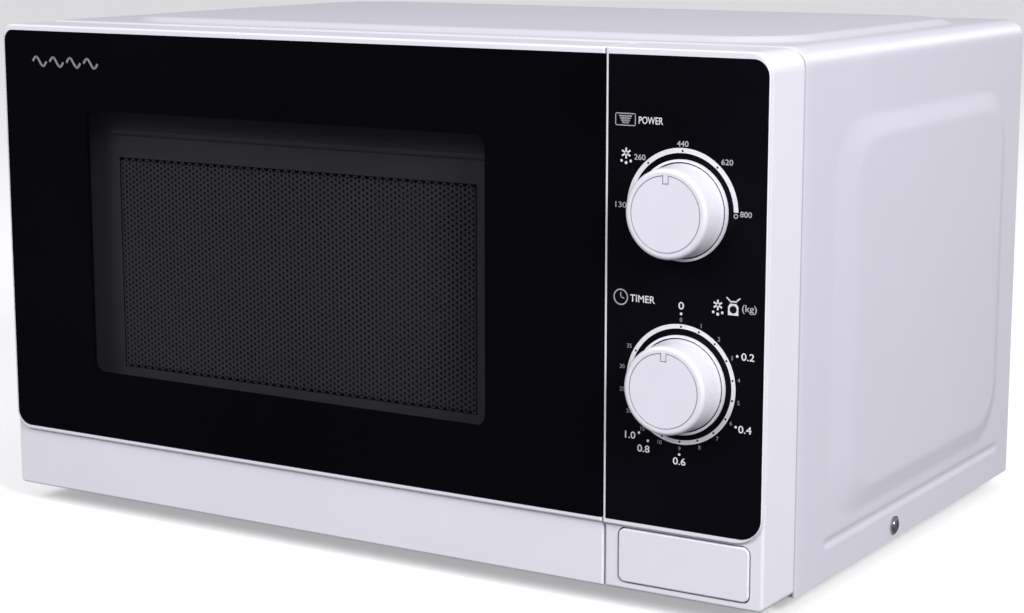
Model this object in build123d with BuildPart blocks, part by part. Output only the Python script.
from build123d import *
import math
import os

os.makedirs("parts", exist_ok=True)

# ---- overall envelope: X to the right, Y to the back, Z up, millimetres ----
HALF_W = 220.2
CASE_TOP = 255.6
CASE_BOTTOM = 8.0
HOUSING_TOP = 255.2
HOUSING_BOTTOM = 10.0
FRONT_Y = -162.5
BAND_Y = -160.6
HOUSING_BACK = -128.9
PLATE_FRONT = -127.5
PLATE_BACK = -126.5
CASE_FRONT = -127.3
CASE_BACK = 149.5
DOME_BACK = 178.5
KNOB_FACE = -178.5

# ---- sheet and moulding thicknesses ----
SHEET = 0.8
HEM_T = 2.2
HEM_DEPTH = 9.0
WALL = 2.5
GLASS_T = 3.0
FACIA_T = 1.2

# ---- front layout ----
DOOR_RIGHT = 139.9
PANEL_LEFT = 140.7
FACIA_LEFT = 141.9
GLASS_LEFT = -218.6
FACIA_RIGHT = 219.5
GLASS_Z = (42.5, 252.3)
LIP_Z = 40.4
R_TOP_LEFT = 5.5
R_TOP_RIGHT = 7.5
R_LOW_LEFT = 8.0
R_LOW_RIGHT = 10.5
HINGE_X = -213.9
HINGE_Y = -134.5
KNOB_X = 179.1
POWER_Z = 185.7
TIMER_Z = 108.4
BUTTON_X = (148.1, 213.4)
BUTTON_Z = (13.8, 38.7)
BUTTON_R = 3.2
BUTTON_GAP = 0.7

# ---- oven cavity (inside faces) ----
CAV_X = (-203.3, 103.3)
CAV_Z = (34.0, 242.2)
CAV_BACK = 145.3
CAV_T = 0.7
TT_X = -50.0
TT_Y = 10.0
FLOOR = CAV_Z[0]
OUT_X = CAV_X[1] + CAV_T


def mid(span):
    return (span[0] + span[1]) / 2


def size(span):
    return span[1] - span[0]


def grow(span, by):
    return (span[0] - by, span[1] + by)


def block(xs, ys, zs, mode=Mode.ADD):
    with Locations((mid(xs), mid(ys), mid(zs))):
        Box(size(xs), size(ys), size(zs), mode=mode)


def rod_x(r, xs, y, z, mode=Mode.ADD):
    with Locations(Location((mid(xs), y, z), (0, 90, 0))):
        Cylinder(r, size(xs), mode=mode)


def rod_y(r, x, ys, z, mode=Mode.ADD):
    with Locations(Location((x, mid(ys), z), (90, 0, 0))):
        Cylinder(r, size(ys), mode=mode)


def rod_z(r, x, y, zs, mode=Mode.ADD):
    with Locations((x, y, mid(zs))):
        Cylinder(r, size(zs), mode=mode)


def outline(plane, us, vs, radii):
    # rounded rectangle, radii in the order top-left, top-right, low-right, low-left
    with BuildSketch(plane) as sk:
        with Locations((mid(us), mid(vs))):
            Rectangle(size(us), size(vs))
        spots = [(us[0], vs[1]), (us[1], vs[1]), (us[1], vs[0]), (us[0], vs[0])]
        for spot, r in zip(spots, radii):
            if r > 0:
                corner = sk.vertices().sort_by_distance((spot[0], spot[1], 0))[0]
                fillet(corner, radius=r)
    return sk.sketch


def front_prism(xs, zs, ys, radii, mode=Mode.ADD):
    # plate facing the front: outline in X and Z, thickness from ys[0] back to ys[1]
    face = outline(Plane.XZ.offset(-ys[0]), xs, zs, radii)
    extrude(face, amount=-size(ys), mode=mode)


def floor_prism(xs, ys, zs, radii, mode=Mode.ADD):
    face = outline(Plane.XY.offset(zs[0]), xs, ys, radii)
    extrude(face, amount=size(zs), mode=mode)


def side_prism(ys, zs, xs, radii, mode=Mode.ADD):
    face = outline(Plane.YZ.offset(xs[0]), ys, zs, radii)
    extrude(face, amount=size(xs), mode=mode)


def blend_prism(faces, mode=Mode.ADD):
    loft(faces, ruled=True, mode=mode)


def edges_at(axis, value, tol=0.01):
    return lambda e: abs(getattr(e.center(), axis) - value) < tol


def upright_edges(piece, x, y):
    # vertical edges within 1 mm of the line at x, y
    near = lambda e: abs(e.center().X - x) < 1 and abs(e.center().Y - y) < 1
    return piece.edges().filter_by(Axis.Z).filter_by(near)


def save(piece, name):
    piece.part.label = name
    export_step(piece.part, "parts/" + name + ".step")


# ================= cabinet shell =================
SIDE_FOOT_Y = (-93.5, 127.0)
SIDE_FOOT_Z = (33.7, 221.0)
SIDE_TOP_Y = (-69.5, 118.5)
SIDE_TOP_Z = (43.7, 211.0)
SIDE_RISE = 2.0
SIDE_R = (30.0, 22.0)
TOP_FOOT_X = (-190.0, 205.0)
TOP_FOOT_Y = (-117.5, 118.0)
TOP_RISE = 2.6
TOP_INSET = 6.5
TOP_R = (40.0, 34.0)
BEAD_Y = (-96.5, 132.5)
BEAD_Z = 25.4
BEAD_H = 5.0
BEAD_DEEP = 1.0
REAR_FLANGE = 9.0
CASE_R = (5.0, 9.0)
CASE_FRONT_R = 1.2
SCREW_R = 1.8
SCREW_HEAD_R = 4.6
SIDE_SCREW_Y = -12.1
SIDE_SCREW_Z = 15.2
REAR_SCREWS = [(-214.8, 60.0), (-214.8, 205.0), (214.8, 60.0), (214.8, 205.0), (0.0, 251.3)]


def case_profile(inset, top_inset, plane):
    xs = (-HALF_W + inset, HALF_W - inset)
    left, right = [max(r - inset, 1.0) for r in CASE_R]
    return outline(plane, xs, (CASE_BOTTOM, CASE_TOP - top_inset), (left, right, 0, 0))


def side_boss(sign, shift):
    base = sign * (HALF_W - shift - 0.3)
    tip = sign * (HALF_W - shift + SIDE_RISE)
    radii = [(r, r, r, r) for r in SIDE_R]
    foot = outline(Plane.YZ.offset(base), SIDE_FOOT_Y, SIDE_FOOT_Z, radii[0])
    face = outline(Plane.YZ.offset(tip), SIDE_TOP_Y, SIDE_TOP_Z, radii[1])
    return [foot, face]


def top_boss(shift):
    radii = [(r, r, r, r) for r in TOP_R]
    low = Plane.XY.offset(CASE_TOP - shift - 0.3)
    high = Plane.XY.offset(CASE_TOP - shift + TOP_RISE)
    foot = outline(low, TOP_FOOT_X, TOP_FOOT_Y, radii[0])
    face = outline(high, grow(TOP_FOOT_X, -TOP_INSET), grow(TOP_FOOT_Y, -TOP_INSET), radii[1])
    return [foot, face]


def bead_bar(sign, depth_span, extra):
    xs = sorted([sign * (HALF_W - depth_span[0]), sign * (HALF_W - depth_span[1])])
    r = BEAD_H / 2 + extra - 0.01
    side_prism(grow(BEAD_Y, extra), (BEAD_Z - BEAD_H / 2 - extra, BEAD_Z + BEAD_H / 2 + extra),
               xs, (r, r, r, r), Mode.ADD if extra > 0 else Mode.SUBTRACT)


with BuildPart() as outer_case:
    extrude(case_profile(0, 0, Plane.XZ.offset(-CASE_FRONT)), amount=-(CASE_BACK - CASE_FRONT))
    front_rim = outer_case.edges().filter_by(edges_at("Y", CASE_FRONT))
    fillet(front_rim.filter_by(lambda e: e.center().Z > CASE_BOTTOM + 1), radius=CASE_FRONT_R)
    extrude(case_profile(HEM_T, HEM_T, Plane.XZ.offset(-CASE_FRONT + 1)),
            amount=-(HEM_DEPTH + 1), mode=Mode.SUBTRACT)
    extrude(case_profile(SHEET, SHEET, Plane.XZ.offset(-CASE_FRONT - HEM_DEPTH)),
            amount=-(CASE_BACK - CASE_FRONT - HEM_DEPTH - SHEET), mode=Mode.SUBTRACT)
    extrude(case_profile(REAR_FLANGE, REAR_FLANGE, Plane.XZ.offset(-CASE_BACK + 2)),
            amount=-4, mode=Mode.SUBTRACT)
    for sign in (-1, 1):
        blend_prism(side_boss(sign, 0))
        blend_prism(side_boss(sign, SHEET + 0.3), Mode.SUBTRACT)
        bead_bar(sign, (SHEET - 0.2, SHEET + BEAD_DEEP), SHEET)
        bead_bar(sign, (-1.0, BEAD_DEEP), 0)
        rod_x(SCREW_R + 0.3, sorted((sign * (HALF_W - 2), sign * (HALF_W + 1))), SIDE_SCREW_Y, SIDE_SCREW_Z,
              Mode.SUBTRACT)
    blend_prism(top_boss(0))
    blend_prism(top_boss(SHEET + 0.3), Mode.SUBTRACT)
    for x, z in REAR_SCREWS:
        rod_y(SCREW_R + 0.3, x, (CASE_BACK - 2, CASE_BACK + 1), z, Mode.SUBTRACT)
save(outer_case, "outer_case")

# ---- base plate with upturned side flanges ----
BASE_X = 219.05
BASE_Y = (-126.4, 147.7)
BASE_Z = (8.2, 9.2)
BASE_FLANGE_Z = 20.8
BASE_STEP_Y = -117.6
FP_X = 217.6
FOOT_SPOTS = [(-190.0, -104.0), (190.0, -104.0), (-190.0, 124.0), (190.0, 124.0)]
VENT_LONG = 26.0
VENT_WIDE = 3.0

with BuildPart() as base_plate:
    block((-BASE_X, BASE_X), (BASE_STEP_Y, BASE_Y[1]), BASE_Z)
    block((-FP_X, FP_X), (BASE_Y[0], BASE_STEP_Y + 1), BASE_Z)
    for sign in (-1, 1):
        xs = sorted((sign * (BASE_X - 1.0), sign * BASE_X))
        block(xs, (BASE_STEP_Y, BASE_Y[1]), (BASE_Z[0], BASE_FLANGE_Z))
        rod_x(SCREW_R + 0.02, sorted((sign * (BASE_X - 3), sign * (BASE_X + 1))), SIDE_SCREW_Y, SIDE_SCREW_Z,
              Mode.SUBTRACT)
    for x, y in FOOT_SPOTS:
        rod_z(2.6, x, y, grow(BASE_Z, 1), Mode.SUBTRACT)
    for i in range(6):
        floor_prism((110.0, 110.0 + VENT_LONG), (-108.0 + 7 * i, -108.0 + 7 * i + VENT_WIDE),
                    grow(BASE_Z, 1), (1.4, 1.4, 1.4, 1.4), Mode.SUBTRACT)
        floor_prism((-170.0, -170.0 + VENT_LONG), (60.0 + 7 * i, 60.0 + 7 * i + VENT_WIDE),
                    grow(BASE_Z, 1), (1.4, 1.4, 1.4, 1.4), Mode.SUBTRACT)
save(base_plate, "base_plate")

FOOT_R = (11.0, 9.0)
with BuildPart() as feet:
    for x, y in FOOT_SPOTS:
        with BuildSketch(Plane.XZ.offset(-y)) as foot_half:
            with BuildLine():
                Polyline((x, 0), (x + FOOT_R[1], 0), (x + FOOT_R[0], 2), (x + FOOT_R[0], BASE_Z[0]),
                         (x + 2.5, BASE_Z[0]), (x + 2.5, BASE_Z[1]), (x + 5, BASE_Z[1]),
                         (x + 3.5, BASE_Z[1] + 4), (x, BASE_Z[1] + 4), (x, 0))
            make_face()
        revolve(foot_half.sketch, axis=Axis((x, y, 0), (0, 0, 1)))
save(feet, "feet")

# ---- front plate: steel face of the chassis behind door and control panel ----
FP_Z = (10.6, 253.0)
LATCH_X = 122.0
HOOK_Z = (62.0, 196.0)
SLOT_X = (115.5, 129.0)
SLOT_Z_SPAN = (-8.0, 15.0)
STEM_X = 170.0
STEM_Z = 25.7
SHAFT_R = 3.0
PIN_R = 3.0
TAB_R = 5.0
TAB_LOW = (17.0, 19.0)
TAB_HIGH = (244.8, 246.8)
TAB_GAP = 0.8
PIN_LEN = 10.0
TAB_ROOT_Y = -129.2
TAB_NECK_X = (-216.4, -208.9)
TAB_LEG_X = (-216.4, -205.0)

with BuildPart() as front_plate:
    front_prism((-FP_X, FP_X), FP_Z, (PLATE_FRONT, PLATE_BACK), (8, 8, 0, 0))
    block(CAV_X, (PLATE_FRONT - 1, PLATE_BACK + 1), CAV_Z, Mode.SUBTRACT)
    for z in HOOK_Z:
        slot = (z + SLOT_Z_SPAN[0], z + SLOT_Z_SPAN[1])
        block(SLOT_X, (PLATE_FRONT - 1, PLATE_BACK + 1), slot, Mode.SUBTRACT)
    for z in (POWER_Z, TIMER_Z):
        rod_y(SHAFT_R + 3, KNOB_X, (PLATE_FRONT - 1, PLATE_BACK + 1), z, Mode.SUBTRACT)
    rod_y(9.0, STEM_X, (PLATE_FRONT - 1, PLATE_BACK + 1), STEM_Z, Mode.SUBTRACT)
    for tab in (TAB_LOW, TAB_HIGH):
        block(grow(TAB_NECK_X, 0.1), (PLATE_FRONT - 1, PLATE_BACK + 1), grow(tab, 0.1), Mode.SUBTRACT)
save(front_plate, "front_plate")

# ---- oven cavity tub ----
DOME_FOOT = ((-164.0, 64.0), (66.0, 214.0))
DOME_FACE = ((-146.0, 46.0), (84.0, 196.0))
CAV_DOME_BACK = 176.0
DOME_R = (30.0, 22.0)
FEED_Y = (-5.0, 55.0)
FEED_Z = (118.0, 168.0)
LAMP_Y = -70.0
LAMP_Z = 205.0
LAMP_HOLE_R = 1.4
LAMP_PITCH = 5.0
LAMP_WALL_X = (CAV_X[1], CAV_X[1] + CAV_T)


def rear_dome(inset, y0, y1):
    # bulge of the rear wall, drawn in by inset all round, from y0 back to y1
    faces = []
    for (xs, zs), r, y in ((DOME_FOOT, DOME_R[0], y0), (DOME_FACE, DOME_R[1], y1)):
        faces.append(outline(Plane.XZ.offset(-y), grow(xs, -inset), grow(zs, -inset), (r - inset,) * 4))
    return faces


with BuildPart() as cavity:
    block(grow(CAV_X, CAV_T), (PLATE_BACK, CAV_BACK + CAV_T), grow(CAV_Z, CAV_T))
    blend_prism(rear_dome(0, CAV_BACK + CAV_T - 0.1, CAV_DOME_BACK))
    block(CAV_X, (PLATE_BACK - 1, CAV_BACK), CAV_Z, Mode.SUBTRACT)
    blend_prism(rear_dome(CAV_T, CAV_BACK - 0.1, CAV_DOME_BACK - CAV_T), Mode.SUBTRACT)
    rod_z(6.5, TT_X, TT_Y, (FLOOR - 2, FLOOR + 1), Mode.SUBTRACT)
    block((CAV_X[1] - 1, CAV_X[1] + 2), FEED_Y, FEED_Z, Mode.SUBTRACT)
    with Locations(Location((mid(grow(LAMP_WALL_X, 1)), LAMP_Y, LAMP_Z), (0, 90, 0))):
        with GridLocations(LAMP_PITCH, LAMP_PITCH, 5, 5):
            Cylinder(LAMP_HOLE_R, size(grow(LAMP_WALL_X, 1)), mode=Mode.SUBTRACT)
save(cavity, "cavity")

# ---- back panel with dome, air slots and cord hole ----
BP_X = 218.85
BP_Y = (147.9, 148.7)
BP_Z = (9.4, 254.5)
CORD_X = 196.0
CORD_Z = 60.0
FAN_X = 159.0
FAN_Z = 175.0
DOME_CLEAR = 5.0
GRILLE_ROWS = 9
GRILLE_PITCH = 7.0
GRILLE_R = 38.0
SLOT_WIDE = 3.0
SLOT_END_R = 1.4

with BuildPart() as back_panel:
    front_prism((-BP_X, BP_X), BP_Z, BP_Y, (8, 8, 1, 1))
    blend_prism(rear_dome(-DOME_CLEAR, BP_Y[1] - 0.1, DOME_BACK))
    blend_prism(rear_dome(SHEET - DOME_CLEAR, BP_Y[0] - 0.1, DOME_BACK - SHEET), Mode.SUBTRACT)
    for i in range(GRILLE_ROWS):
        z = FAN_Z + (i - (GRILLE_ROWS - 1) / 2) * GRILLE_PITCH
        reach = math.sqrt(max(GRILLE_R ** 2 - (z - FAN_Z) ** 2, 1))
        for xs in ((FAN_X - reach, FAN_X - SLOT_WIDE), (FAN_X + SLOT_WIDE, FAN_X + reach)):
            front_prism(xs, grow((z, z), SLOT_WIDE / 2), grow(BP_Y, 1), (SLOT_END_R,) * 4, Mode.SUBTRACT)
    for i in range(8):
        x = 118.0 + 11 * i
        front_prism((x, x + SLOT_WIDE), (100.0, 122.0), grow(BP_Y, 1), (SLOT_END_R,) * 4, Mode.SUBTRACT)
    rod_y(8.0, CORD_X, grow(BP_Y, 1), CORD_Z, Mode.SUBTRACT)
    for x, z in REAR_SCREWS:
        rod_y(SCREW_R + 0.02, x, grow(BP_Y, 1), z, Mode.SUBTRACT)
save(back_panel, "back_panel")

with BuildPart() as cord_gland:
    rod_y(11.0, CORD_X, (BP_Y[1], BP_Y[1] + 3.0), CORD_Z)
    rod_y(7.9, CORD_X, (BP_Y[0], BP_Y[1]), CORD_Z)
    rod_y(10.0, CORD_X, (BP_Y[0] - 4.0, BP_Y[0]), CORD_Z)
    rod_y(3.6, CORD_X, (BP_Y[0] - 5.0, BP_Y[1] + 4.0), CORD_Z, Mode.SUBTRACT)
save(cord_gland, "cord_gland")


def washer_screw(plane_point, direction, length):
    x, y, z = plane_point
    with BuildSketch(Plane.XY) as half:
        with BuildLine():
            Polyline((0, -length), (SCREW_R, -length + 1), (SCREW_R, 0), (SCREW_HEAD_R, 0),
                     (SCREW_HEAD_R, 0.9), (3.6, 1.0), (3.2, 1.7), (2.0, 2.1), (0, 2.2), (0, -length))
        make_face()
    turned = revolve(half.sketch, axis=Axis.Y, mode=Mode.PRIVATE)
    plane = Plane(origin=(x, y, z), x_dir=(0, 0, 1), z_dir=Vector(0, 0, 1).cross(Vector(*direction)))
    placed = plane.location * turned
    slot = plane.location * Location((0, 2.0, 0)) * Box(4.4, 1.2, 0.9, mode=Mode.PRIVATE)
    add(placed - slot)


with BuildPart() as case_screws:
    for sign in (-1, 1):
        washer_screw((sign * HALF_W, SIDE_SCREW_Y, SIDE_SCREW_Z), (sign, 0, 0), 7.0)
    for x, z in REAR_SCREWS:
        washer_screw((x, CASE_BACK, z), (0, 1, 0), 7.0)
save(case_screws, "case_screws")

# ================= door =================
DOOR_X = (-HALF_W, DOOR_RIGHT)
GLASS_X = (GLASS_LEFT, DOOR_RIGHT)
FRAME_OPEN_X = (-172.0, 86.0)
FRAME_OPEN_Z = (60.0, 220.0)
FRAME_BACK_X = (-204.0, 132.5)
FRAME_BACK_Z = (17.0, 247.5)
PAN_Y = -147.2
PAN_T = 0.8
PAN_LIP_Y = -131.4
CHOKE_X = (-201.5, 111.5)
CHOKE_Z = (22.0, 246.0)
CHOKE_WALL = 22.0
COVER_T = 1.6
GLASS_BACK = FRONT_Y + GLASS_T
POCKET_Y = GLASS_BACK + 3.0


with BuildPart() as door_frame:
    front_prism(DOOR_X, (HOUSING_BOTTOM, HOUSING_TOP), (BAND_Y, HOUSING_BACK), (5, 0.4, 0.8, 2.5))
    fillet(upright_edges(door_frame, -HALF_W, HOUSING_BACK), radius=5.0)
    fillet(upright_edges(door_frame, -HALF_W, BAND_Y), radius=1.0)
    front_prism((-HALF_W + 0.4, DOOR_RIGHT), (LIP_Z, HOUSING_TOP), (FRONT_Y, BAND_Y + 0.5),
                (5.6, 0.4, 0.4, R_LOW_LEFT + 2))
    fillet(door_frame.edges().filter_by(edges_at("Y", FRONT_Y)), radius=1.1)
    front_prism(GLASS_X, GLASS_Z, (FRONT_Y - 1, GLASS_BACK), (R_TOP_LEFT, 0.3, 0.3, R_LOW_LEFT),
                Mode.SUBTRACT)
    front_prism(FRAME_OPEN_X, FRAME_OPEN_Z, (GLASS_BACK - 1, HOUSING_BACK + 1), (4, 4, 4, 4), Mode.SUBTRACT)
    front_prism(FRAME_BACK_X, FRAME_BACK_Z, (POCKET_Y, HOUSING_BACK + 1), (3, 3, 3, 3), Mode.SUBTRACT)
    for tab in (TAB_LOW, TAB_HIGH):
        block((-HALF_W - 1, HINGE_X + 8.0), (HINGE_Y - 7.5, HOUSING_BACK + 1), grow(tab, TAB_GAP),
              Mode.SUBTRACT)
    rod_z(PIN_R + 0.06, HINGE_X, HINGE_Y, (TAB_LOW[1], TAB_LOW[1] + PIN_LEN + 1.5), Mode.SUBTRACT)
    rod_z(PIN_R + 0.06, HINGE_X, HINGE_Y, (TAB_HIGH[0] - PIN_LEN - 1.5, TAB_HIGH[0]), Mode.SUBTRACT)
save(door_frame, "door_frame")

with BuildPart() as door_glass:
    front_prism(grow(GLASS_X, -0.15), grow(GLASS_Z, -0.15), (FRONT_Y + 0.05, GLASS_BACK),
                (R_TOP_LEFT, 0.3, 0.3, R_LOW_LEFT))
    rim = door_glass.edges().filter_by(edges_at("Y", FRONT_Y + 0.05))
    chamfer(rim, length=0.25)
save(door_glass, "door_glass")

# steel door pan: flat viewing screen in the middle, boxed choke channel round it
SCREEN_X = (CHOKE_X[0] + CHOKE_WALL, CHOKE_X[1] - CHOKE_WALL)
SCREEN_Z = (CHOKE_Z[0] + CHOKE_WALL, CHOKE_Z[1] - CHOKE_WALL)
PAN_INSIDE_Y = (PAN_Y + PAN_T, PAN_LIP_Y + 1)
RIDGE_Z = 201.0
with BuildPart() as door_screen:
    front_prism(CHOKE_X, CHOKE_Z, (PAN_Y, PAN_LIP_Y), (4,) * 4)
    front_prism(grow(CHOKE_X, -PAN_T), grow(CHOKE_Z, -PAN_T), PAN_INSIDE_Y, (3,) * 4, Mode.SUBTRACT)
    front_prism(grow(SCREEN_X, PAN_T), grow(SCREEN_Z, PAN_T), (PAN_Y, PAN_LIP_Y), (6,) * 4)
    front_prism(SCREEN_X, SCREEN_Z, PAN_INSIDE_Y, (5,) * 4, Mode.SUBTRACT)
    block((-160.0, 74.0), (PAN_Y - 0.9, PAN_Y + 0.1), (RIDGE_Z - 1.2, RIDGE_Z + 1.2))
save(door_screen, "door_screen")

COVER_Y = (PAN_LIP_Y + 0.2, PAN_LIP_Y + 0.2 + COVER_T)
with BuildPart() as choke_cover:
    front_prism(grow(CHOKE_X, 1.5), grow(CHOKE_Z, 1.0), COVER_Y, (5, 5, 5, 5))
    front_prism(grow(SCREEN_X, 0.2), grow(SCREEN_Z, 0.2), grow(COVER_Y, 1), (5, 5, 5, 5), Mode.SUBTRACT)
    rear_soft = choke_cover.edges().filter_by(edges_at("Y", COVER_Y[1]))
    chamfer(rear_soft, length=0.5)
save(choke_cover, "choke_cover")

# ---- latch bar with two hooks, sliding up and down in the door's right edge ----
BAR_X = (118.5, 126.0)
BAR_Y = (-146.0, -139.0)
BAR_Z = (48.0, 208.0)
HOOK_X = (120.0, 125.0)
HOOK_REACH = -110.5
NOSE_Z = (-6.5, -2.9)
with BuildPart() as latch_bar:
    block(BAR_X, BAR_Y, BAR_Z)
    for z in HOOK_Z:
        block(HOOK_X, (BAR_Y[1] - 0.5, HOOK_REACH), (z - 3.0, z + 3.5))
        nose_z = (z + NOSE_Z[0], z + NOSE_Z[1])
        side_prism((HOOK_REACH - 7.0, HOOK_REACH), nose_z, HOOK_X, (0, 1.2, 1.2, 0.5))
    rod_z(2.2, mid(BAR_X), mid(BAR_Y), (BAR_Z[1], BAR_Z[1] + 14.0))
save(latch_bar, "latch_bar")

SPRING_COILS = 7
with BuildPart() as latch_spring:
    for i in range(SPRING_COILS):
        with Locations((mid(BAR_X), mid(BAR_Y), BAR_Z[1] + 1.1 + 2.3 * i)):
            Torus(3.0, 0.45)
    rod_z(0.4, mid(BAR_X) + 3.0, mid(BAR_Y), (BAR_Z[1] + 1.1, BAR_Z[1] + 1.1 + 2.3 * (SPRING_COILS - 1)))
save(latch_spring, "latch_spring")

# ---- hinge brackets on the chassis ----


def hinge_bracket(tab, up):
    floor_prism((HINGE_X - TAB_R, HINGE_X + TAB_R), (HINGE_Y - TAB_R, TAB_ROOT_Y), tab, (0, 0, 4.9, 4.9))
    block(TAB_NECK_X, (TAB_ROOT_Y - 1, PLATE_BACK + 1.5), tab)
    leg_z = (tab[0], tab[1] + 26.0) if up else (tab[0] - 26.0, tab[1])
    block(TAB_LEG_X, (PLATE_BACK, PLATE_BACK + 1.5), leg_z)
    pin_z = (tab[1] - 0.5, tab[1] + PIN_LEN) if up else (tab[0] - PIN_LEN, tab[0] + 0.5)
    rod_z(PIN_R, HINGE_X, HINGE_Y, pin_z)


with BuildPart() as hinge_lower:
    hinge_bracket(TAB_LOW, True)
save(hinge_lower, "hinge_lower")

with BuildPart() as hinge_upper:
    hinge_bracket(TAB_HIGH, False)
save(hinge_upper, "hinge_upper")

# ================= control side =================
PANEL_X = (PANEL_LEFT, HALF_W)
FACIA_X = (FACIA_LEFT, FACIA_RIGHT)
FACIA_BACK = FRONT_Y + FACIA_T
COLLAR_R = (22.3, 21.2)
COLLAR_Y = (FRONT_Y - 1.2, FRONT_Y + 0.6)
BUTTON_FACE = BAND_Y - 0.7
BUTTON_BACK = BUTTON_FACE + 5.1
STEM_TIP = -120.0
STEM_CHAMFER = 2.4

with BuildPart() as control_housing:
    front_prism(PANEL_X, (HOUSING_BOTTOM, HOUSING_TOP), (BAND_Y, HOUSING_BACK), (0.4, 9, 2.5, 0.4))
    fillet(upright_edges(control_housing, HALF_W, BAND_Y), radius=1.4)
    front_prism((PANEL_LEFT, HALF_W - 0.25), (LIP_Z, HOUSING_TOP), (FRONT_Y, BAND_Y + 0.5),
                (0.4, 9.5, R_LOW_RIGHT + 3, 0.4))
    fillet(control_housing.edges().filter_by(edges_at("Y", FRONT_Y)), radius=0.7)
    front_prism(FACIA_X, GLASS_Z, (FRONT_Y - 1, FACIA_BACK), (0.3, R_TOP_RIGHT, R_LOW_RIGHT, 0.3),
                Mode.SUBTRACT)
    front_prism((PANEL_LEFT + 1.6, HALF_W - WALL), (HOUSING_BOTTOM + WALL, HOUSING_TOP - WALL),
                (FACIA_BACK + WALL, HOUSING_BACK + 1), (2, 6, 3, 2), Mode.SUBTRACT)
    front_prism(grow(BUTTON_X, BUTTON_GAP), grow(BUTTON_Z, BUTTON_GAP), (BAND_Y - 1, BAND_Y + 8),
                (BUTTON_R + BUTTON_GAP,) * 4, Mode.SUBTRACT)
    for z in (POWER_Z, TIMER_Z):
        rod_y(SHAFT_R + 2.0, KNOB_X, (FRONT_Y - 1, FACIA_BACK + WALL + 1), z, Mode.SUBTRACT)
save(control_housing, "control_housing")

with BuildPart() as control_facia:
    front_prism(grow(FACIA_X, -0.15), grow(GLASS_Z, -0.15), (FRONT_Y + 0.05, FACIA_BACK),
                (0.3, R_TOP_RIGHT, R_LOW_RIGHT, 0.3))
    for z in (POWER_Z, TIMER_Z):
        rod_y(COLLAR_R[0] + 0.02, KNOB_X, (FRONT_Y - 1, COLLAR_Y[1]), z, Mode.SUBTRACT)
        rod_y(COLLAR_R[1] - 0.02, KNOB_X, (FRONT_Y + 0.05, COLLAR_Y[1]), z)
        rod_y(SHAFT_R + 2.0, KNOB_X, (FRONT_Y - 1, FACIA_BACK + 1), z, Mode.SUBTRACT)
save(control_facia, "control_facia")

with BuildPart() as knob_collars:
    for z in (POWER_Z, TIMER_Z):
        rod_y(COLLAR_R[0], KNOB_X, COLLAR_Y, z)
        rod_y(COLLAR_R[1], KNOB_X, grow(COLLAR_Y, 1), z, Mode.SUBTRACT)
save(knob_collars, "knob_collars")

KNOB_BASE = FRONT_Y - 0.5
KNOB_R = (20.6, 19.7)
KNOB_EDGE_R = 1.9
KNOB_BORE = SHAFT_R + 0.02
KNOB_BORE_END = KNOB_FACE + 4
GROOVE_R = 16.9
GROOVE_W = 0.5
GROOVE_DEPTH = 0.4
NOTCH_W = 3.1
NOTCH_H = 3.7


def knob(z):
    with BuildSketch(Plane.XY) as half:
        with BuildLine():
            Polyline((KNOB_BORE, KNOB_BASE), (KNOB_R[0], KNOB_BASE), (KNOB_R[1], KNOB_FACE), (0, KNOB_FACE),
                     (0, KNOB_BORE_END), (KNOB_BORE, KNOB_BORE_END), (KNOB_BORE, KNOB_BASE))
        make_face()
    turned = revolve(half.sketch, axis=Axis.Y, mode=Mode.PRIVATE)
    add(turned.moved(Location((KNOB_X, 0, z))))
    knob_part = BuildPart._get_context().part
    fillet(knob_part.edges().filter_by(edges_at("Y", KNOB_FACE)), radius=KNOB_EDGE_R)
    with BuildSketch(Plane.XZ.offset(-KNOB_FACE)) as groove:
        with Locations((KNOB_X, z)):
            Circle(GROOVE_R)
            Circle(GROOVE_R - GROOVE_W, mode=Mode.SUBTRACT)
        with Locations((KNOB_X, z + GROOVE_R - NOTCH_H / 2)):
            Rectangle(NOTCH_W, NOTCH_H)
            Rectangle(NOTCH_W - 2 * GROOVE_W, NOTCH_H + 2, mode=Mode.SUBTRACT)
        with Locations((KNOB_X, z + GROOVE_R - NOTCH_H)):
            Rectangle(NOTCH_W, GROOVE_W)
    extrude(groove.sketch, amount=-GROOVE_DEPTH, mode=Mode.SUBTRACT)


with BuildPart() as power_knob:
    knob(POWER_Z)
save(power_knob, "power_knob")

with BuildPart() as timer_knob:
    knob(TIMER_Z)
save(timer_knob, "timer_knob")

SWITCH_FRONT = -126.3
SHAFT_Y = (KNOB_BORE_END + 0.2, SWITCH_FRONT + 8)
with BuildPart() as power_shaft:
    rod_y(SHAFT_R, KNOB_X, SHAFT_Y, POWER_Z)
save(power_shaft, "power_shaft")

with BuildPart() as timer_shaft:
    rod_y(SHAFT_R, KNOB_X, SHAFT_Y, TIMER_Z)
save(timer_shaft, "timer_shaft")

with BuildPart() as power_selector:
    block((KNOB_X - 22, KNOB_X + 22), (SWITCH_FRONT, -98.0), (POWER_Z - 20, POWER_Z + 20))
    fillet(power_selector.edges().filter_by(Axis.Y), radius=3)
    for i in range(4):
        block((KNOB_X - 15 + 9 * i, KNOB_X - 9.5 + 9 * i), (-98.0, -89.0), (POWER_Z - 6, POWER_Z - 5.2))
    rod_y(SHAFT_R + 0.06, KNOB_X, (SWITCH_FRONT - 1, SWITCH_FRONT + 9), POWER_Z, Mode.SUBTRACT)
save(power_selector, "power_selector")

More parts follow.
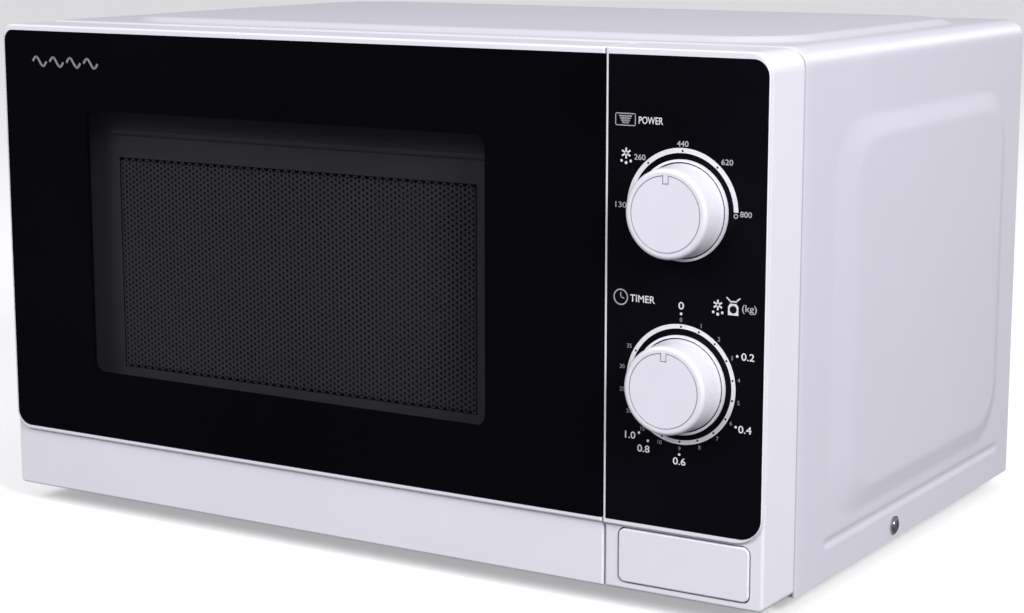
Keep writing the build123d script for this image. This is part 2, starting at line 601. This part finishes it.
with BuildPart() as timer_unit:
    block((KNOB_X - 31, KNOB_X + 31), (SWITCH_FRONT, -94.0), (TIMER_Z - 26, TIMER_Z + 26))
    fillet(timer_unit.edges().filter_by(Axis.Y), radius=4)
    rod_y(18.0, KNOB_X - 8, (-94.0, -82.0), TIMER_Z + 4)
    for i in range(3):
        block((KNOB_X + 14, KNOB_X + 20.3), (-94.0, -85.0), (TIMER_Z - 18 + 12 * i, TIMER_Z - 17.2 + 12 * i))
    rod_y(SHAFT_R + 0.06, KNOB_X, (SWITCH_FRONT - 1, SWITCH_FRONT + 9), TIMER_Z, Mode.SUBTRACT)
    rod_x(2.0, (KNOB_X - 37, KNOB_X - 30.9), -104.0, TIMER_Z)
save(timer_unit, "timer_unit")

with BuildPart() as timer_bell:
    rod_x(16.0, (KNOB_X - 45, KNOB_X - 37), -104.0, TIMER_Z)
    fillet(timer_bell.edges().filter_by(edges_at("X", KNOB_X - 45)), radius=3)
    rod_x(14.0, (KNOB_X - 43.8, KNOB_X - 36), -104.0, TIMER_Z, Mode.SUBTRACT)
    rod_x(2.02, (KNOB_X - 46, KNOB_X - 43), -104.0, TIMER_Z, Mode.SUBTRACT)
save(timer_bell, "timer_bell")

# ---- door release: button, spring, lever ----
with BuildPart() as release_button:
    front_prism(BUTTON_X, BUTTON_Z, (BUTTON_FACE, BUTTON_BACK), (BUTTON_R,) * 4)
    fillet(release_button.edges().filter_by(edges_at("Y", BUTTON_FACE)), radius=0.8)
    front_prism(grow(BUTTON_X, -1.6), grow(BUTTON_Z, -1.6), (BUTTON_FACE + 1.8, BUTTON_BACK + 1),
                (BUTTON_R - 1.6,) * 4, Mode.SUBTRACT)
    rod_y(3.4, STEM_X, (BUTTON_FACE + 1.0, STEM_TIP), STEM_Z)
    rod_y(6.0, STEM_X, (BUTTON_FACE + 1.0, -147.0), STEM_Z)
    chamfer(release_button.edges().filter_by(edges_at("Y", STEM_TIP)), length=STEM_CHAMFER)
save(release_button, "release_button")

with BuildPart() as button_spring:
    for i in range(6):
        with Locations(Location((STEM_X, -146.2 + 2.2 * i, STEM_Z), (90, 0, 0))):
            Torus(4.6, 0.5)
    rod_y(0.45, STEM_X + 4.6, (-146.2, -146.2 + 2.2 * 5), STEM_Z)
save(button_spring, "button_spring")

LEVER_Y = -118.0
LEVER_Z = 46.0
LEVER_X = (137.0, 182.0)
LEVER_BORE = 2.5
with BuildPart() as release_lever:
    rod_x(5.5, LEVER_X, LEVER_Y, LEVER_Z)
    block((STEM_X - 6, STEM_X + 6), (-119.7, -116.5), (STEM_Z - 6, LEVER_Z))
    block((LEVER_X[0], LEVER_X[0] + 5), (LEVER_Y, -107.3), (LEVER_Z - 2.5, LEVER_Z + 2.5))
    block((118.5, LEVER_X[0] + 5), (-112.6, -107.3), (LEVER_Z - 2.5, LEVER_Z + 2.5))
    rod_x(LEVER_BORE + 0.06, grow(LEVER_X, 1), LEVER_Y, LEVER_Z, Mode.SUBTRACT)
save(release_lever, "release_lever")

# ---- interlock bracket with door switches behind the latch slots ----
SWITCH_SPOTS = [(HOOK_Z[0], "low"), (HOOK_Z[1], "high")]
BRACKET_Y = (-126.3, -94.0)
with BuildPart() as interlock_bracket:
    block((109.5, 111.5), BRACKET_Y, (40.0, 220.0))
    block((132.0, 133.5), BRACKET_Y, (36.0, 220.0))
    block((109.5, 133.5), (-97.0, -94.0), (40.0, 220.0))
    block((111.4, 132.1), BRACKET_Y, (216.5, 218.5))
    block((111.4, 132.1), BRACKET_Y, (128.0, 130.0))
    rod_x(LEVER_BORE, (133.4, 187.0), LEVER_Y, LEVER_Z)
    block((186.9, 189.0), (-126.3, LEVER_Y + 5), (LEVER_Z - 5, LEVER_Z + 5))
    block((131.0, 134.0), (-114.2, -104.8), (LEVER_Z - 8, LEVER_Z + 9), Mode.SUBTRACT)
    for z in HOOK_Z:
        block((111.4, 132.1), (-108.0, -96.9), (z + 15.5, z + 17.0))
save(interlock_bracket, "interlock_bracket")

with BuildPart() as interlock_switches:
    for z in HOOK_Z:
        block((111.8, 131.8), (-104.5, -97.2), (z - 12.0, z + 15.0))
        for k in range(3):
            block((118.5, 124.5), (-97.2, -97.0), (z - 10 + 10 * k, z - 9.2 + 10 * k))
        block((119.4, 125.6), (-104.6, -102.4), (z - 2.1, z + 2.1), Mode.SUBTRACT)
save(interlock_switches, "interlock_switches")

PLUNGER_TRAVEL = 1.0
for z, word in SWITCH_SPOTS:
    with BuildPart() as plunger:
        block((120.6, 124.4), (-106.2, -103.6), (z - 1.7, z + 1.7))
        fillet(plunger.edges().filter_by(edges_at("Y", -106.2)), radius=0.8)
    save(plunger, "switch_plunger_" + word)

# ================= turntable drive =================
DRIVE_R = 3.0
PLATE_R = 122.5
PLATE_Z = 48.2
ROLL_R = 7.0
ROLL_RADIUS = 88.0
AXLE_Z = FLOOR + 0.1 + ROLL_R
MOTOR_Z = (15.0, 31.5)

with BuildPart() as turntable_motor:
    rod_z(25.0, TT_X, TT_Y, MOTOR_Z)
    fillet(turntable_motor.edges().filter_by(edges_at("Z", MOTOR_Z[0])), radius=1.5)
    rod_z(5.5, TT_X, TT_Y, (MOTOR_Z[1], FLOOR - 0.3))
    for sign in (-1, 1):
        xs = sorted((TT_X + sign * 24, TT_X + sign * 36))
        block(xs, (TT_Y - 6, TT_Y + 6), (FLOOR - CAV_T - 1.0, FLOOR - CAV_T))
        xs = sorted((TT_X + sign * 24, TT_X + sign * 25.2))
        block(xs, (TT_Y - 6, TT_Y + 6), (MOTOR_Z[1] - 4, FLOOR - CAV_T - 0.5))
    block((TT_X - 8, TT_X + 8), (TT_Y + 24, TT_Y + 31), (MOTOR_Z[0] + 3, MOTOR_Z[1] - 4))
    rod_z(DRIVE_R + 0.06, TT_X, TT_Y, (MOTOR_Z[0] + 6, FLOOR + 1), Mode.SUBTRACT)
save(turntable_motor, "turntable_motor")

with BuildPart() as drive_shaft:
    rod_z(DRIVE_R, TT_X, TT_Y, (MOTOR_Z[0] + 6.5, PLATE_Z - 4.0))
save(drive_shaft, "drive_shaft")

with BuildPart() as drive_coupler:
    rod_z(10.0, TT_X, TT_Y, (FLOOR + 1.2, PLATE_Z - 0.4))
    for k in range(3):
        with Locations(Location((TT_X, TT_Y, 0), (0, 0, 120 * k))):
            with Locations((13.0, 0, PLATE_Z - 3.4)):
                Box(14.0, 7.0, 6.0)
    rod_z(DRIVE_R + 0.02, TT_X, TT_Y, (FLOOR, PLATE_Z - 3.9), Mode.SUBTRACT)
save(drive_coupler, "drive_coupler")

with BuildPart() as turntable_glass:
    with BuildSketch(Plane.XZ) as section:
        with BuildLine():
            Polyline((0, PLATE_Z), (96, PLATE_Z), (110, PLATE_Z + 1.0), (PLATE_R - 1.5, PLATE_Z + 9.0),
                     (PLATE_R, PLATE_Z + 11.0), (PLATE_R - 2.0, PLATE_Z + 12.0),
                     (PLATE_R - 5, PLATE_Z + 11.0), (108, PLATE_Z + 5.0), (95, PLATE_Z + 4.2),
                     (0, PLATE_Z + 4.2), (0, PLATE_Z))
        make_face()
    turned = revolve(section.sketch, axis=Axis.Z, mode=Mode.PRIVATE)
    add(turned.moved(Location((TT_X, TT_Y, 0))))
    for k in range(3):
        with Locations(Location((TT_X, TT_Y, 0), (0, 0, 60 + 120 * k))):
            with Locations((17.0, 0, PLATE_Z - 2.4)):
                Cylinder(3.0, 5.0)
save(turntable_glass, "turntable_glass")

RING_R = (70.0, 78.0)
with BuildPart() as roller_ring:
    rod_z(RING_R[1], TT_X, TT_Y, (AXLE_Z - 2.5, AXLE_Z + 3.0))
    rod_z(RING_R[0], TT_X, TT_Y, (AXLE_Z - 3.5, AXLE_Z + 4.0), Mode.SUBTRACT)
    for k in range(3):
        with Locations(Location((TT_X, TT_Y, AXLE_Z), (0, 0, 30 + 120 * k))):
            with Locations((RING_R[1] + 1.5, 0, 0.25)):
                Box(6.0, 10.0, 5.5)
            with Locations(Location((RING_R[1] + 9.5, 0, 0), (0, 90, 0))):
                Cylinder(1.6, 15.0)
            with Locations(Location((ROLL_RADIUS + 6.3, 0, 0), (0, 90, 0))):
                Cylinder(2.6, 1.6)
save(roller_ring, "roller_ring")

for k in range(3):
    with BuildPart() as wheel:
        with Locations(Location((TT_X, TT_Y, AXLE_Z), (0, 0, 30 + 120 * k))):
            with Locations(Location((ROLL_RADIUS, 0, 0), (0, 90, 0))):
                Cylinder(ROLL_R, 7.0)
                Cylinder(1.66, 8.0, mode=Mode.SUBTRACT)
    save(wheel, "roller_wheel_" + str(k + 1))

# ================= microwave source =================
WG_X = (OUT_X, OUT_X + 25.0)
WG_Y = (-25.0, 75.0)
WG_Z = (106.0, 218.0)
MAG_Y = 25.0
MAG_Z = 186.0
MAG_HOLE = 11.0
with BuildPart() as waveguide:
    block(WG_X, WG_Y, WG_Z)
    block((WG_X[0] - 1, WG_X[1] - 1.0), grow(WG_Y, -1.0), grow(WG_Z, -1.0), Mode.SUBTRACT)
    block((WG_X[0], WG_X[0] + 1.0), grow(WG_Y, 9.0), grow(WG_Z, 7.0))
    block((WG_X[0] - 1, WG_X[0] + 2), grow(WG_Y, -1.0), grow(WG_Z, -1.0), Mode.SUBTRACT)
    rod_x(MAG_HOLE, (WG_X[1] - 2, WG_X[1] + 1), MAG_Y, MAG_Z, Mode.SUBTRACT)
save(waveguide, "waveguide")

with BuildPart() as waveguide_cover:
    side_prism(grow(FEED_Y, 9), grow(FEED_Z, 9), (CAV_X[1] - 0.6, CAV_X[1] - 0.05), (5,) * 4)
save(waveguide_cover, "waveguide_cover")

YOKE_X = (WG_X[1] + 3.0, WG_X[1] + 51.0)
YOKE_Z = (MAG_Z - 36, MAG_Z + 36)
YOKE_Y = (MAG_Y - 32, MAG_Y + 32)
ANODE_R = 18.0
with BuildPart() as magnetron_yoke:
    block(YOKE_X, YOKE_Y, YOKE_Z)
    block(grow(YOKE_X, -1.6), grow(YOKE_Y, 1), grow(YOKE_Z, -1.6), Mode.SUBTRACT)
    block((WG_X[1] + 1.4, YOKE_X[0]), grow(YOKE_Y, 14), grow(YOKE_Z, 2))
    rod_x(ANODE_R + 0.1, (WG_X[1], YOKE_X[0] + 3), MAG_Y, MAG_Z, Mode.SUBTRACT)
    rod_x(8.0, (YOKE_X[1] - 3, YOKE_X[1] + 1), MAG_Y, MAG_Z, Mode.SUBTRACT)
save(magnetron_yoke, "magnetron_yoke")

with BuildPart() as magnetron_tube:
    rod_x(ANODE_R, (WG_X[1] + 1.4, YOKE_X[1] - 1.7), MAG_Y, MAG_Z)
    rod_x(9.0, (WG_X[1] - 14, WG_X[1] + 1.4), MAG_Y, MAG_Z)
    fillet(magnetron_tube.edges().filter_by(edges_at("X", WG_X[1] - 14)), radius=3)
    rod_x(14.5, (WG_X[1] + 0.1, WG_X[1] + 1.4), MAG_Y, MAG_Z)
    rod_x(7.8, (YOKE_X[1] - 2, YOKE_X[1] + 8), MAG_Y, MAG_Z)
save(magnetron_tube, "magnetron_tube")

FIN_N = 7
with BuildPart() as magnetron_fins:
    for i in range(FIN_N):
        x = YOKE_X[0] + 7 + 5.4 * i
        side_prism(grow(YOKE_Y, -1), grow(YOKE_Z, -1.8), (x, x + 0.5), (2,) * 4)
        rod_x(ANODE_R + 0.1, (x - 1, x + 2), MAG_Y, MAG_Z, Mode.SUBTRACT)
save(magnetron_fins, "magnetron_fins")

FILTER_X = (YOKE_X[1] + 0.1, YOKE_X[1] + 26.0)
with BuildPart() as magnetron_filter:
    block(FILTER_X, grow(YOKE_Y, -2), grow(YOKE_Z, -3))
    block((FILTER_X[0] + 1, FILTER_X[1] - 1), grow(YOKE_Y, -3), grow(YOKE_Z, -4), Mode.SUBTRACT)
    rod_x(8.4, (FILTER_X[0] - 1, FILTER_X[0] + 2), MAG_Y, MAG_Z, Mode.SUBTRACT)
    block((FILTER_X[0] + 7, FILTER_X[0] + 19), (YOKE_Y[0] - 4, YOKE_Y[0] + 2.4), (MAG_Z - 10, MAG_Z + 10))
save(magnetron_filter, "magnetron_filter")

DUCT_X = (OUT_X + 0.1, YOKE_X[1])
DUCT_Y = (-86.0, WG_Y[0] - 9.6)
DUCT_Z = (YOKE_Z[0], YOKE_Z[1] + 8)
DUCT_T = 1.4
with BuildPart() as air_duct:
    block(DUCT_X, DUCT_Y, DUCT_Z)
    block((DUCT_X[0] - 1, DUCT_X[1] - DUCT_T), (DUCT_Y[0] + DUCT_T, DUCT_Y[1] + 1), grow(DUCT_Z, -DUCT_T),
          Mode.SUBTRACT)
save(air_duct, "air_duct")

# ================= high-voltage supply on the base plate =================
CORE_X = (120.0, 208.0)
CORE_Y = (-62.0, -8.0)
CORE_Z = (BASE_Z[1] + 1.6, BASE_Z[1] + 76.0)
LIMB_X = (150.0, 178.0)
WINDOW_Z = (CORE_Z[0] + 14, CORE_Z[1] - 14)
with BuildPart() as transformer_core:
    block(CORE_X, CORE_Y, CORE_Z)
    block((CORE_X[0] + 14, LIMB_X[0]), grow(CORE_Y, 1), WINDOW_Z, Mode.SUBTRACT)
    block((LIMB_X[1], CORE_X[1] - 14), grow(CORE_Y, 1), WINDOW_Z, Mode.SUBTRACT)
    block(grow(CORE_X, 5), grow(CORE_Y, -2), (BASE_Z[1], CORE_Z[0]))
save(transformer_core, "transformer_core")


def winding(zs):
    floor_prism((CORE_X[0] + 14.4, CORE_X[1] - 14.4), grow(CORE_Y, 14), zs, (9,) * 4)
    block(grow(LIMB_X, 0.3), grow(CORE_Y, 0.3), grow(zs, 1), Mode.SUBTRACT)


with BuildPart() as primary_winding:
    winding((WINDOW_Z[0] + 0.8, WINDOW_Z[0] + 19))
save(primary_winding, "primary_winding")

with BuildPart() as secondary_winding:
    winding((WINDOW_Z[0] + 24, WINDOW_Z[1] - 0.8))
save(secondary_winding, "secondary_winding")

CAP_X = (122.0, 204.0)
CAP_Y = (40.0, 92.0)
CAP_Z = (BASE_Z[1] + 0.3, BASE_Z[1] + 34.0)
STRAP_X = (150.0, 166.0)
with BuildPart() as hv_capacitor:
    side_prism(CAP_Y, CAP_Z, CAP_X, (16,) * 4)
    for z in (CAP_Z[0] + 11, CAP_Z[0] + 23):
        block((CAP_X[0] - 9, CAP_X[0]), (62.0, 69.0), (z, z + 0.8))
save(hv_capacitor, "hv_capacitor")

with BuildPart() as capacitor_clamp:
    side_prism(grow(CAP_Y, 1.3), (BASE_Z[1], CAP_Z[1] + 1.3), STRAP_X, (17.2, 17.2, 0, 0))
    side_prism(grow(CAP_Y, 0.1), (BASE_Z[1] - 1, CAP_Z[1] + 0.1), grow(STRAP_X, 1), (16.05, 16.05, 0, 0),
               Mode.SUBTRACT)
    for ys in ((CAP_Y[0] - 12, CAP_Y[0] - 0.1), (CAP_Y[1] + 0.1, CAP_Y[1] + 12)):
        block(STRAP_X, ys, (BASE_Z[1], BASE_Z[1] + 1.2))
save(capacitor_clamp, "capacitor_clamp")

with BuildPart() as hv_diode:
    block((176.0, 198.0), (18.0, 26.0), (BASE_Z[1] + 6, BASE_Z[1] + 13))
    block((186.0, 188.0), (21.0, 23.0), (BASE_Z[1], BASE_Z[1] + 7))
    floor_prism((181.0, 193.0), (16.0, 28.0), (BASE_Z[1], BASE_Z[1] + 1.0), (5,) * 4)
save(hv_diode, "hv_diode")

# ================= cooling fan behind the magnetron =================
FAN_R = 45.0
ARM_X = (35.2, 39.0)
ARM_Z = (30.2, 34.2)
SHROUD_Y = (128.0, 147.7)
with BuildPart() as fan_shroud:
    block((FAN_X - 52, FAN_X + 52), SHROUD_Y, (FAN_Z - 52, FAN_Z + 52))
    block((FAN_X - 50, FAN_X + 50), (SHROUD_Y[0] + 2, SHROUD_Y[1] + 1), (FAN_Z - 50, FAN_Z + 50),
          Mode.SUBTRACT)
    rod_y(FAN_R + 4.5, FAN_X, (SHROUD_Y[0] - 10, SHROUD_Y[0] + 3), FAN_Z)
    rod_y(FAN_R + 2.5, FAN_X, (SHROUD_Y[0] - 12, SHROUD_Y[0] + 4), FAN_Z, Mode.SUBTRACT)
    for sign in (-1, 1):
        xs = sorted(FAN_X + sign * x for x in ARM_X)
        for side in (-1, 1):
            block(xs, (SHROUD_Y[0] - 34, SHROUD_Y[0] - 7), sorted(FAN_Z + side * z for z in ARM_Z))
save(fan_shroud, "fan_shroud")

MOTOR_Y = (SHROUD_Y[0] - 34, SHROUD_Y[0] - 20)
with BuildPart() as fan_motor:
    block((FAN_X - 39, FAN_X + 39), (MOTOR_Y[0] - 1.2, MOTOR_Y[0]), (FAN_Z - 36, FAN_Z + 36))
    block((FAN_X - 28, FAN_X + 28), MOTOR_Y, (FAN_Z - 24, FAN_Z + 24))
    block((FAN_X - 14, FAN_X + 14), grow(MOTOR_Y, 1), (FAN_Z - 37, FAN_Z - 13), Mode.SUBTRACT)
    block((FAN_X - 13.5, FAN_X + 13.5), (MOTOR_Y[0] + 0.2, MOTOR_Y[1] + 2), (FAN_Z - 34, FAN_Z - 14))
    rod_y(14.0, FAN_X, (MOTOR_Y[1] - 1, MOTOR_Y[1] + 4), FAN_Z)
    rod_y(1.66, FAN_X, (MOTOR_Y[0] + 2, MOTOR_Y[1] + 6), FAN_Z, Mode.SUBTRACT)
save(fan_motor, "fan_motor")

BLADE_N = 5
BLADE_Y = (SHROUD_Y[0] - 9, SHROUD_Y[0] + 3)
with BuildPart() as fan_rotor:
    rod_y(13.0, FAN_X, BLADE_Y, FAN_Z)
    fillet(fan_rotor.edges().filter_by(edges_at("Y", BLADE_Y[1])), radius=2)
    rod_y(1.6, FAN_X, (MOTOR_Y[0] + 2.5, BLADE_Y[0] + 0.5), FAN_Z)
    for k in range(BLADE_N):
        spin = Location((FAN_X, mid(BLADE_Y), FAN_Z), (0, 360 / BLADE_N * k, 0))
        pitch = Location((28.0, 0, 0), (28, 0, 0))
        with Locations(spin * pitch):
            Box(32.0, 1.4, 20.0)
save(fan_rotor, "fan_rotor")

# ================= wiring board, cut-outs and lamp =================
BOARD_X = (OUT_X + 5.0, OUT_X + 6.6)
BOARD_Y = (84.0, 112.0)
BOARD_Z = (150.0, 236.0)
with BuildPart() as filter_board:
    block(BOARD_X, BOARD_Y, BOARD_Z)
    for y in (BOARD_Y[0] + 4, BOARD_Y[1] - 4):
        for z in (BOARD_Z[0] + 4, BOARD_Z[1] - 4):
            rod_x(2.5, (OUT_X, BOARD_X[0]), y, z)
    block((BOARD_X[1], BOARD_X[1] + 8), (88.0, 106.0), (158.0, 171.0))
    block((BOARD_X[1], BOARD_X[1] + 5), (95.0, 101.0), (182.0, 186.0))
    block((BOARD_X[1], BOARD_X[1] + 5), (95.0, 101.0), (202.0, 206.0))
    rod_z(2.6, BOARD_X[1] + 4.0, 98.0, (181.0, 207.0))
    rod_x(8.0, (BOARD_X[1], BOARD_X[1] + 9), 98.0, 222.0)
    rod_x(3.5, (BOARD_X[1] + 2, BOARD_X[1] + 10), 98.0, 222.0, Mode.SUBTRACT)
save(filter_board, "filter_board")

CUTOUT_R = 8.0
with BuildPart() as thermal_cutouts:
    for spot in ((OUT_X, -50.0, 90.0), (OUT_X, 101.0, 130.0)):
        rod_x(CUTOUT_R, (spot[0], spot[0] + 9), spot[1], spot[2])
        block((spot[0], spot[0] + 0.8), (spot[1] - 13, spot[1] + 13), (spot[2] - 4, spot[2] + 4))
        for sign in (-1, 1):
            blade_y = spot[1] + sign * 4
            block((spot[0] + 8, spot[0] + 16), (blade_y - 0.4, blade_y + 0.4), (spot[2] - 3, spot[2] + 3))
save(thermal_cutouts, "thermal_cutouts")

LAMP_AXIS_Z = YOKE_Z[1] + 16.0
with BuildPart() as oven_lamp:
    block((OUT_X, OUT_X + 1.0), (LAMP_Y - 18, LAMP_Y + 18), (YOKE_Z[1] + 9, YOKE_Z[1] + 30))
    block((OUT_X + 1.0, OUT_X + 30.0), (LAMP_Y + 17, LAMP_Y + 18), (YOKE_Z[1] + 9, YOKE_Z[1] + 27))
    rod_y(8.0, OUT_X + 16, (LAMP_Y + 4, LAMP_Y + 17), LAMP_AXIS_Z + 2)
    rod_y(6.6, OUT_X + 16, (LAMP_Y + 3, LAMP_Y + 12), LAMP_AXIS_Z + 2, Mode.SUBTRACT)
    rod_y(6.5, OUT_X + 16, (LAMP_Y + 2, LAMP_Y + 11.8), LAMP_AXIS_Z + 2)
    rod_y(9.0, OUT_X + 16, (LAMP_Y - 18, LAMP_Y + 2), LAMP_AXIS_Z + 2)
    bulb_end = oven_lamp.edges().filter_by(GeomType.CIRCLE).filter_by(edges_at("Y", LAMP_Y - 18))
    fillet(bulb_end, radius=8)
save(oven_lamp, "oven_lamp")
